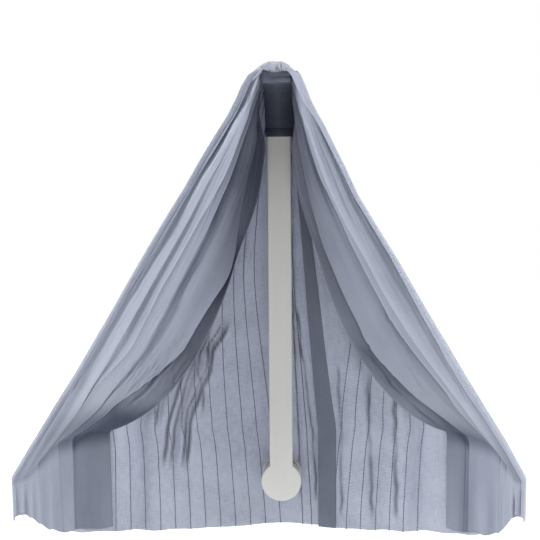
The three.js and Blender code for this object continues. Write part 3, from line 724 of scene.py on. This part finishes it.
def makeOuterCloth(
        name, half, shares, columns, material, seed, layer=0.0, thickness=hang["clothThickness"]):
    around = np.linspace(*shares, columns)[None, :]
    down = crown["startShare"] + (1 - crown["startShare"]) * np.linspace(0, 1, outerCloth["rows"])[:, None]
    places = outerFolded(half, around, down, layer)
    over = overArm(places[0], around[0])
    over[..., 2] += layer * smooth(around[0], 0.65, 0.8)
    places = np.concatenate([over, places])
    overDown = np.linspace(-0.06, crown["startShare"], crown["rows"], endpoint=False)[:, None]
    down = np.concatenate([overDown, down])
    upward = smooth(0.03 - down, 0, 0.06)[..., None]
    away = outwardOf(half, around) * (1 - upward) + np.array([0, 0, 1.0]) * upward
    nearTop = 1 - smooth(down, 0.02, outerCloth["gatheredTo"])
    wave = 2 * math.pi * outerCloth["gathers"] * around + 3 * softNoise(around * 12, down * 3, seed)
    uneven = 0.75 + 0.25 * softNoise(around * 20, down * 8, seed + 9)
    lift = outerCloth["gather"] * np.sin(wave) * nearTop * uneven
    lift = lift + outerCloth["crumple"] * softNoise(around * 40, down * 9, seed + 3)
    lift = lift + outerCloth["fineCrumple"] * softNoise(around * 110, down * 34, seed + 4)
    onBack = smooth(around, half["seam"], half["turnTo"])
    # The creases' painted shade is kept to the back of the cloth
    creased, shade = creaseLift(places, half["backCreases"], seed)
    places = places + away * (lift + creased * onBack)[..., None]
    flat = (half["run"] * (shares[1] - shares[0]), outerCloth["height"])
    return sheetPiece(name, places, flat, material, thickness, shade * onBack), places


# Creases where the cloth is dragged: places down the picture, the height in millimetres and the width
left["backCreases"] = [
    ([(228, 317), (219, 333), (210, 347), (209, 368), (200, 387), (190, 409), (187, 431), (184, 470)], 9, 4),
    ([(233, 322), (225, 338), (216, 351), (214, 371), (205, 391), (196, 412), (192, 431), (190, 470)],
     -6, 5),
    ([(201, 340), (192, 374), (184, 400), (176, 431), (172, 470)], 10, 5),
    ([(196, 340), (187, 374), (178, 400), (170, 431), (166, 470)], -5, 6),
    ([(178, 357), (171, 376), (162, 398), (156, 431)], 8, 4),
    ([(212, 330), (204, 350), (199, 372), (206, 392), (203, 415)], 6, 4),
    ([(298, 308), (302, 340), (306, 372), (314, 431), (318, 500)], 5, 3.5),
    ([(291, 146), (292, 200), (293, 250), (294, 300), (296, 350), (299, 431), (301, 500)], 6, 2.6),
]
right["backCreases"] = [
    ([(340, 365), (341, 395), (343, 431), (344, 520)], 3, 5),
    ([(372, 372), (371, 400), (372, 431), (374, 520)], 3.5, 6),
    ([(398, 395), (398, 431), (400, 520)], 4, 7),
]
left["drapeCreases"] = [
    ([(174, 360), (164, 369), (152, 384), (137, 398), (126, 407)], 4.5, 4.2),
    ([(168, 366), (152, 377), (140, 383)], 3.5, 3.6),
    ([(203, 347), (181, 379), (162, 403), (140, 419)], 2.2, 4.0),
    ([(196, 352), (183, 367), (172, 385), (155, 405), (135, 421)], 1.6, 3.6),
    ([(177, 371), (175, 388), (165, 403)], 2.2, 3.4),
    ([(152, 306), (147, 318), (142, 326)], 2.0, 3.0),
]
right["drapeCreases"] = [
    ([(362, 345), (373, 356), (387, 371), (394, 384), (409, 396), (424, 411), (442, 426)], 3.2, 7.0),
    ([(366, 350), (380, 372), (392, 388), (407, 403), (420, 414)], 2.0, 4.4),
    ([(372, 352), (389, 374), (404, 388), (420, 403)], 1.8, 4.0),
    ([(383, 305), (387, 314), (391, 326)], 2.2, 3.0),
    ([(393, 328), (400, 338), (408, 348), (415, 362)], 1.8, 3.0),
    ([(408, 363), (418, 380), (430, 396)], 1.4, 3.4),
]


creaseForm = {
    "steepness": 1.7, "wander": 2.2, "height": 0.7, "fadeIn": 12, "fadeOut": 14,
    "shade": 0.17, "mostShade": 0.85, "shadeWidth": 0.52, "shadeBeside": 0.8,
}


# Raises the cloth along each crease line and paints shade beside it, darker for a deeper crease
def creaseLift(places, creases, seed):
    seenX, seenY = seenAt(places)
    lift, shade = np.zeros(seenX.shape), np.zeros(seenX.shape)
    for line, depth, width in creases:
        lineX, lineY = np.array(line).T
        offset = (seenX - np.interp(seenY, lineY, lineX)) * creaseForm["steepness"]
        offset = offset + creaseForm["wander"] * softNoise(seenY * 0.09, seenX * 0.04, seed + len(lineX))
        ends = smooth(seenY, lineY[0] - 4, lineY[0] + creaseForm["fadeIn"])
        ends = ends * (1 - smooth(seenY, lineY[-1] - creaseForm["fadeOut"], lineY[-1] + 3))
        lift += creaseForm["height"] * depth / 1000 * ends * np.exp(-(offset / width) ** 2)
        beside = (offset + creaseForm["shadeBeside"] * width) / (creaseForm["shadeWidth"] * width)
        uneven = 0.75 + 0.45 * softNoise(seenY * 0.06, seenX * 0.02, seed + 40)
        dark = min(creaseForm["shade"] * abs(depth), creaseForm["mostShade"])
        shade = np.maximum(shade, dark * ends * np.exp(-beside ** 2) * uneven)
    return lift, shade


leftDrape, leftFacing = makeFrontDrape("left", left)
rightDrape, rightFacing = makeFrontDrape("right", right)
print("front drapes hung")

start = outerCloth["start"]
lapEnd = 1 + hang["overlap"] / left["run"]
bandEdge = 1 - hang["bandStart"] / right["run"]
bandShares = (bandEdge - hang["bandWidth"] / right["run"], bandEdge + outerCloth["bandUnder"])
leftOuter, leftPlaces = makeOuterCloth(
    "leftOuterCloth", left, (start, lapEnd), outerCloth["columns"], slubCotton, outerCloth["leftSeed"],
    hang["lapOffset"])
rightOuter, rightPlaces = makeOuterCloth(
    "rightOuterCloth", right, (start, bandEdge), outerCloth["rightColumns"], slubCotton,
    outerCloth["rightSeed"])
bandPiece = makeOuterCloth(
    "backEdgeBand", right, bandShares, outerCloth["bandColumns"], bandCotton, outerCloth["rightSeed"],
    thickness=outerCloth["bandThickness"])[0]
print("outer cloth hung")


# Tucks: narrow ridges sewn into the outer cloth, 25 mm apart. On the back they lean as the cloth is
# dragged: x in the picture at five heights of it; on the sides they run straight down.
tucks = {
    "pitch": 0.025, "halfWidth": 0.0010, "height": 0.0015, "rightShare": 0.85,
    "heights": (250, 330, 396, 431, 520), "seenBelow": 285, "evenOver": 31, "firstRow": crown["rows"] + 2,
}
stitches = {"Spacing": 0.0065, "Radius": 0.0013, "Stretch": 1.5}
leftTuckLines = [
    (251, 259, 268, 272, 281), (241, 247, 254, 257.5, 266), (232, 235, 240, 243.5, 251),
    (223, 222, 225, 229, 236), (213, 209, 209, 214.5, 221), (203, 196, 194, 200, 206),
    (190, 183, 180, 185.5, 191), (178, 171, 167, 171.5, 176), (165, 158, 154, 157.5, 161),
    (152, 145, 141, 143.5, 146), (139, 132, 128, 129.5, 131), (126, 119, 115, 115.5, 116),
]
rightTuckLines = [
    (362, 352, 343, 340, 332), (374, 364, 356, 353.5, 346), (386, 376, 369, 367, 360),
    (398, 389, 383, 381, 375), (411, 402, 396, 394.5, 389), (424, 415, 409, 408, 403),
    (437, 428, 422, 421.5, 417),
]
bandTuckLines = [(288, 293, 297, 298.5, 303), (291, 298, 304, 306.5, 312)]


# The column, in parts of one, at which each row of a cloth crosses a line of the picture
def columnsOver(places, line):
    seenX, seenY = seenAt(places)
    offset = seenX - np.interp(seenY, tucks["heights"], line)
    crossed = np.diff(np.sign(offset), axis=1) != 0
    rows = np.where(crossed.any(axis=1) & (seenY.mean(axis=1) > tucks["seenBelow"]))[0]
    column = np.argmax(crossed[rows], axis=1)
    part = offset[rows, column] / (offset[rows, column] - offset[rows, column + 1])
    columns = np.interp(np.arange(len(places)), rows, column + part)
    weights = np.hanning(tucks["evenOver"])[1:-1]
    return np.convolve(np.pad(columns, len(weights) // 2, "edge"), weights / weights.sum(), "valid")


def alongColumns(places, columns):
    low = np.clip(np.floor(columns).astype(int), 0, places.shape[1] - 2)
    part = (columns - low)[:, None]
    rows = np.arange(len(places))
    near, far = places[rows, low], places[rows, low + 1]
    return near * (1 - part) + far * part, far - near


# The back's tucks follow lines of the picture, and the side's run straight down, a pitch apart
def tuckTable(places, lines, spacing):
    table = [columnsOver(places, line) for line in lines]
    lastColumn = min(columns.min() for columns in table) - spacing * 0.6
    sides = np.arange(spacing * 0.8, lastColumn, spacing)
    return table + [np.full(len(places), column) for column in sides]


# Threads and slubs on sewn lines follow the cloth's own width and height
def mapSewn(mesh):
    places = np.zeros(len(mesh.vertices) * 3)
    mesh.vertices.foreach_get("co", places)
    layer = mesh.uv_layers.new(name="cloth")
    layer.data.foreach_set("uv", atCorners(mesh, places.reshape(-1, 3)[:, [0, 2]]))


def makeTucks(name, places, table, share=1.0):
    vertices, faces = [], []
    for columns in table:
        middle, across = (rows[tucks["firstRow"]:] for rows in alongColumns(places, columns))
        across = across / np.linalg.norm(across, axis=1, keepdims=True)
        normal = np.cross(np.gradient(middle, axis=0), across)
        normal /= np.maximum(np.linalg.norm(normal, axis=1, keepdims=True), 1e-9)
        base, count = len(vertices), len(middle)
        for side, up in ((1, 0), (0, 1), (-1, 0), (0, -1)):
            ring = middle + (across * side * tucks["halfWidth"] + normal * up * tucks["height"]) * share
            vertices += ring.tolist()
        for edge in range(4):
            here, there = base + edge * count, base + (edge + 1) % 4 * count
            faces += [(here + k, there + k, there + k + 1, here + k + 1) for k in range(count - 1)]
    mesh = bpy.data.meshes.new(name)
    mesh.from_pydata(vertices, [], faces)
    mapSewn(mesh)
    mesh.materials.append(tuckShadeCotton)
    return addPiece(name, mesh)


# Nodes that set a small bead of thread at even steps along every edge line of a mesh
def stitchNodes():
    group = bpy.data.node_groups.new("stitchRow", "GeometryNodeTree")
    group.interface.new_socket("Lines", in_out="INPUT", socket_type="NodeSocketGeometry")
    entries = {}
    for name in ("Spacing", "Radius", "Stretch"):
        entry = group.interface.new_socket(name, in_out="INPUT", socket_type="NodeSocketFloat")
        entries[name] = entry.identifier
    group.interface.new_socket("Beads", in_out="OUTPUT", socket_type="NodeSocketGeometry")
    given = addNode(group, "NodeGroupInput")
    result = addNode(group, "NodeGroupOutput")
    curve = addNode(group, "GeometryNodeMeshToCurve")
    steps = addNode(group, "GeometryNodeResampleCurve", mode="LENGTH")
    tangent = addNode(group, "GeometryNodeInputTangent")
    turn = addNode(group, "FunctionNodeAlignRotationToVector", axis="Z")
    bead = addNode(group, "GeometryNodeMeshIcoSphere", {"Subdivisions": 1})
    size = addNode(group, "ShaderNodeCombineXYZ", {"X": 1.0, "Y": 1.0})
    scatter = addNode(group, "GeometryNodeInstanceOnPoints")
    real = addNode(group, "GeometryNodeRealizeInstances")
    paint = addNode(group, "GeometryNodeSetMaterial", {"Material": tuckShadeCotton})
    wire(
        group, (given, "Lines", curve, "Mesh"), (curve, "Curve", steps, "Curve"),
        (given, "Spacing", steps, "Length"), (steps, "Curve", scatter, "Points"),
        (given, "Radius", bead, "Radius"), (bead, "Mesh", scatter, "Instance"),
        (tangent, "Tangent", turn, "Vector"), (turn, "Rotation", scatter, "Rotation"),
        (given, "Stretch", size, "Z"), (size, "Vector", scatter, "Scale"),
        (scatter, "Instances", real, "Geometry"), (real, "Geometry", paint, "Geometry"),
        (paint, "Geometry", result, "Beads"))
    return group, entries


def makeStitches(name, places, lines):
    rows = [alongColumns(places, columnsOver(places, line))[0][tucks["firstRow"]:] for line in lines]
    count = len(rows[0])
    edges = [(k + at * count, k + 1 + at * count) for at in range(len(rows)) for k in range(count - 1)]
    mesh = bpy.data.meshes.new(name + "Lines")
    mesh.from_pydata(np.concatenate(rows).tolist(), edges, [])
    guide = addPiece(name + "Lines", mesh)
    beads = guide.modifiers.new("beads", "NODES")
    beads.node_group, entries = stitchNodes()
    for entry, value in stitches.items():
        beads[entries[entry]] = value
    plain = bpy.data.meshes.new_from_object(guide.evaluated_get(bpy.context.evaluated_depsgraph_get()))
    guide.modifiers.clear()
    bpy.data.objects.remove(guide)
    mapSewn(plain)
    return addPiece(name, plain)


leftSpacing = tucks["pitch"] / (left["run"] * (lapEnd - start)) * (outerCloth["columns"] - 1)
rightSpacing = tucks["pitch"] / (right["run"] * (bandEdge - start)) * (outerCloth["rightColumns"] - 1)
leftTable = tuckTable(leftPlaces, leftTuckLines + bandTuckLines, leftSpacing)
rightTable = tuckTable(rightPlaces, rightTuckLines, rightSpacing)
leftTucks = makeTucks("leftTucks", leftPlaces, leftTable)
rightTucks = makeTucks("rightTucks", rightPlaces, rightTable, tucks["rightShare"])
leftStitches = makeStitches("leftStitches", leftPlaces, bandTuckLines)
rightStitches = makeStitches("rightStitches", rightPlaces, rightTuckLines)
print("tucks sewn")


# The sleeve: a doubled cloth tunnel over the arm and the bend, hemmed at its end. cap: the rings that
# close its front, each as (share of the last ring, metres further ahead).
sleeveCut = {
    "halfWidth": 0.0221, "boardFront": -0.0256, "board": 0.014, "slack": 0.0022, "bendRadius": 0.100,
    "armUnderside": 0.683, "reach": 0.185, "hem": 0.5985, "hemBand": 0.020, "sides": 64, "squareness": 0.14,
    "hemLines": (0.011, 0.0155), "lineDepth": 0.0011, "lineWidth": 0.0009, "puff": 0.0005,
    "thickness": 0.0009, "flat": (0.125, 0.30), "underShade": 0.52, "sideShade": 0.35, "lineShade": 0.5,
    "mostShade": 0.92, "hemRows": 44, "bendRows": 80, "armRows": 26,
    "cap": ((0.985, 0.0003), (0.95, 0.0002), (0.90, 0.0006), (0.55, 0.0007), (0.002, 0.0007)),
}


# Places along the middle of the board, from the hem up round the bend to the arm's end: y, z and turn
def armPath():
    radius = sleeveCut["bendRadius"] + sleeveCut["board"] / 2
    middleZ = sleeveCut["armUnderside"] + sleeveCut["board"] / 2
    middleY = sleeveCut["boardFront"] + sleeveCut["board"] / 2
    hemTurn = math.asin(1 - (middleZ - sleeveCut["hem"]) / radius)
    nearHem = hemTurn + sleeveCut["hemBand"] / radius
    hem = np.linspace(hemTurn, nearHem, sleeveCut["hemRows"])[:-1]
    turns = np.concatenate([hem, np.linspace(nearHem, math.pi / 2, sleeveCut["bendRows"])])
    bend = [middleY - radius * (1 - np.cos(turns)), middleZ - radius * (1 - np.sin(turns)), turns]
    arm = np.linspace(middleY - radius, -sleeveCut["reach"] - sleeveCut["slack"], sleeveCut["armRows"])[1:]
    return np.concatenate([np.transpose(bend), [(y, middleZ, math.pi / 2) for y in arm]])


def makeSleeve():
    path = armPath()
    along = np.concatenate([[0], np.cumsum(np.linalg.norm(np.diff(path[:, :2], axis=0), axis=1))])
    turns = np.linspace(0, 2 * math.pi, sleeveCut["sides"], endpoint=False)
    square = lambda wave: np.sign(wave) * np.abs(wave) ** sleeveCut["squareness"]
    sideways, deep = square(np.cos(turns)), square(np.sin(turns))
    rings, shades = [], []
    for at, (y, z, turn) in enumerate(path):
        offsets = [(along[at] - line) / sleeveCut["lineWidth"] for line in sleeveCut["hemLines"]]
        groove = sum(math.exp(-offset ** 2) for offset in offsets)
        puff = sleeveCut["puff"] * softNoise(np.arange(sleeveCut["sides"]) * 0.35, at * 0.2, 51)
        puff = puff - sleeveCut["lineDepth"] * groove
        reach = sleeveCut["board"] / 2 + sleeveCut["slack"] + puff
        x = sideways * (sleeveCut["halfWidth"] + puff)
        rings.append(point(x, y + deep * reach * math.cos(turn), z + deep * reach * math.sin(turn)))
        # Painted shade: darker under the arm, on the sleeve's sides and in the hem's grooves
        under = sleeveCut["underShade"] * np.clip(-deep, 0, 1) + sleeveCut["sideShade"] * np.abs(sideways)
        shades.append(np.clip(under + sleeveCut["lineShade"] * groove, 0, sleeveCut["mostShade"]))
    last = rings[-1]
    centre = last.mean(axis=0)
    for share, push in sleeveCut["cap"]:
        rings.append(centre + (last - centre) * share + np.array([0, -push, 0]))
        # Painted shade towards the cap's rim
        shades.append(np.full(sleeveCut["sides"], 0.25 * smooth(share, 0.9, 0.98)))
    places, shades = np.array(rings), np.array(shades)
    places = np.concatenate([places, places[:, :1]], axis=1)
    shades = np.concatenate([shades, shades[:, :1]], axis=1)
    return sheetPiece("armSleeve", places, sleeveCut["flat"], sleeveShadeCotton, sleeveCut["thickness"], shades)


sleevePiece = makeSleeve()
print("sleeve sewn")

# The crown's front: the gathered cloth rolled over the arm's end, from one front fold to the other
crownLip = {
    "across": 170, "round": 34, "from": -0.25, "to": 1.10, "reach": 0.040, "front": -0.2065,
    "backReach": 0.026, "crumple": 0.0017, "sides": (0, 0.008, 0.015, 0.022, 0.032, 0.041),
    "radii": (0.0064, 0.0063, 0.0050, 0.0026, 0.0022, 0.0014), "sinkSides": (0, 0.020, 0.030, 0.041),
    "sinks": (0, 0.0004, 0.0022, 0.0045), "shade": 0.22, "crumpleShade": 0.38, "underShade": 0.4,
    "mostShade": 0.85, "flat": (0.09, 0.05), "thickness": 0.0011,
}


def makeCrownLip():
    x = np.linspace(-crownLip["reach"], crownLip["reach"], crownLip["across"])
    z = crownHeight(x)
    outward = point(-np.gradient(z, x), 0, 1.0)
    outward /= np.linalg.norm(outward, axis=-1, keepdims=True)
    side = np.abs(x)
    radius = np.interp(side, crownLip["sides"], crownLip["radii"])
    sink = np.interp(side, crownLip["sinkSides"], crownLip["sinks"])
    spine = point(x, crownLip["front"] + radius + 0.5 * sink, z) - outward * (radius + sink)[:, None]
    towardTop = 1 - smooth(side, 0.022, 0.040)
    rings, shades = [], []
    for turn in np.linspace(crownLip["from"], crownLip["to"], crownLip["round"]):
        angle = max(turn, 0) * math.pi
        bump = softNoise(x * 190 - 1.6 * turn, turn * 1.6 + x * 50, 74)
        bump = bump + 0.5 * softNoise(x * 330, turn * 4 - x * 90, 75)
        ridged = crownLip["crumple"] * (0.5 - np.abs(bump)) * (0.3 + 0.7 * towardTop)
        ridged = ridged * smooth(crownLip["to"] - turn, 0, 0.4)
        sunk = 0.0008 - 0.0030 * smooth(-turn, 0.02, 0.25)
        place = spine + outward * ((radius + ridged + sunk) * math.cos(angle))[:, None]
        place[:, 1] -= (radius + ridged) * math.sin(angle)
        place[:, 1] += max(0.0, turn / crownLip["from"]) * crownLip["backReach"]
        rings.append(place)
        # Painted shade over the whole lip, deeper in the crumples' hollows and on its underside
        hollow = crownLip["crumpleShade"] * smooth(np.abs(bump), 0.5, 1.0) * towardTop
        dark = crownLip["shade"] + hollow + crownLip["underShade"] * smooth(turn, 0.65, 1.0)
        shades.append(np.clip(dark, 0, crownLip["mostShade"]))
    places, shades = np.array(rings), np.array(shades)
    return sheetPiece("crownGather", places, crownLip["flat"], slubCotton, crownLip["thickness"], shades)


crownPiece = makeCrownLip()
print("crown gathered")


def layCloth():
    for piece in (sleevePiece, crownPiece):
        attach(piece, "mast")
    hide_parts("arm_sleeve")
    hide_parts("crown_gather")
    for piece in (leftDrape, rightDrape, leftFacing, rightFacing, leftOuter, rightOuter, bandPiece):
        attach(piece, "mast")
    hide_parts("left_front_drape")
    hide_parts("right_front_drape")
    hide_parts("left_facing")
    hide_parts("right_facing")
    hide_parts("left_side_panel", "left_back_panel")
    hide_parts("right_side_panel", "right_back_panel")
    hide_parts("back_edge_band")
    for piece in (leftTucks, rightTucks, leftStitches, rightStitches):
        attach(piece, "mast")


layCloth()


# Light, floor and background

studio = {
    "ambient": 0.34, "floorHeight": -0.62, "floorSize": 12.0, "aim": (0, -0.1, 0.35),
    "floorColour": (0.8, 0.8, 0.8, 1), "floorGlow": 0.86, "shadowColour": (0.42, 0.42, 0.42, 1),
    "lamps": {
        "leftLamp": {"place": (-2.6, -1.5, 1.8), "size": 1.0, "power": 84.0},
        "rightLamp": {"place": (2.6, -1.5, 1.8), "size": 1.0, "power": 72.0},
        "backLamp": {"place": (0, 2.6, 1.0), "size": 2.0, "power": 60.0},
        "lowLamp": {"place": (0.3, -2.6, 0.2), "size": 1.6, "power": 8.0},
    },
}


def addLamp(name, values):
    lamp = bpy.data.lights.new(name, "AREA")
    lamp.size = values["size"]
    lamp.energy = values["power"]
    holder = addPiece(name, lamp)
    holder.location = values["place"]
    toward = Vector(studio["aim"]) - Vector(values["place"])
    holder.rotation_euler = toward.to_track_quat("-Z", "Y").to_euler()


def emptyTree(holder):
    holder.use_nodes = True
    holder.node_tree.nodes.clear()
    return holder.node_tree


# Shows one shader to the camera, in gloss and through glass, and lights the object with another
def seenApart(tree, lights, shown, output):
    rays = addNode(tree, "ShaderNodeLightPath")
    either = addNode(tree, "ShaderNodeMath", operation="MAXIMUM")
    orThrough = addNode(tree, "ShaderNodeMath", operation="MAXIMUM")
    choose = addNode(tree, "ShaderNodeMixShader")
    wire(
        tree, (rays, "Is Camera Ray", either, 0), (rays, "Is Glossy Ray", either, 1),
        (either, "Value", orThrough, 0), (rays, "Is Transmission Ray", orThrough, 1),
        (orThrough, "Value", choose, "Fac"), (lights, 0, choose, 1), (shown, 0, choose, 2),
        (choose, 0, output, "Surface"))


def makeFloor():
    material = bpy.data.materials.new("paleFloor")
    tree = emptyTree(material)
    matte = addNode(tree, "ShaderNodeBsdfDiffuse", {"Color": studio["floorColour"]})
    glow = addNode(tree, "ShaderNodeEmission", {"Color": (1, 1, 1, 1), "Strength": studio["floorGlow"]})
    faint = addNode(tree, "ShaderNodeBsdfDiffuse", {"Color": studio["shadowColour"]})
    both = addNode(tree, "ShaderNodeAddShader")
    wire(tree, (glow, 0, both, 0), (faint, 0, both, 1))
    seenApart(tree, matte, both, addNode(tree, "ShaderNodeOutputMaterial"))
    half = studio["floorSize"] / 2
    mesh = bpy.data.meshes.new("floor")
    corners = [(-half, -half), (half, -half), (half, half), (-half, half)]
    mesh.from_pydata([(x, y, studio["floorHeight"]) for x, y in corners], [], [(0, 1, 2, 3)])
    mesh.materials.append(material)
    addPiece("floor", mesh)


def makeStudio():
    scene.world = bpy.data.worlds.new("studioWorld")
    tree = emptyTree(scene.world)
    soft = addNode(tree, "ShaderNodeBackground", {"Color": (1, 1, 1, 1), "Strength": studio["ambient"]})
    white = addNode(tree, "ShaderNodeBackground", {"Color": (1, 1, 1, 1), "Strength": 1.0})
    seenApart(tree, soft, white, addNode(tree, "ShaderNodeOutputWorld"))
    for name, values in studio["lamps"].items():
        addLamp(name, values)
    makeFloor()


makeStudio()
print("studio lit")
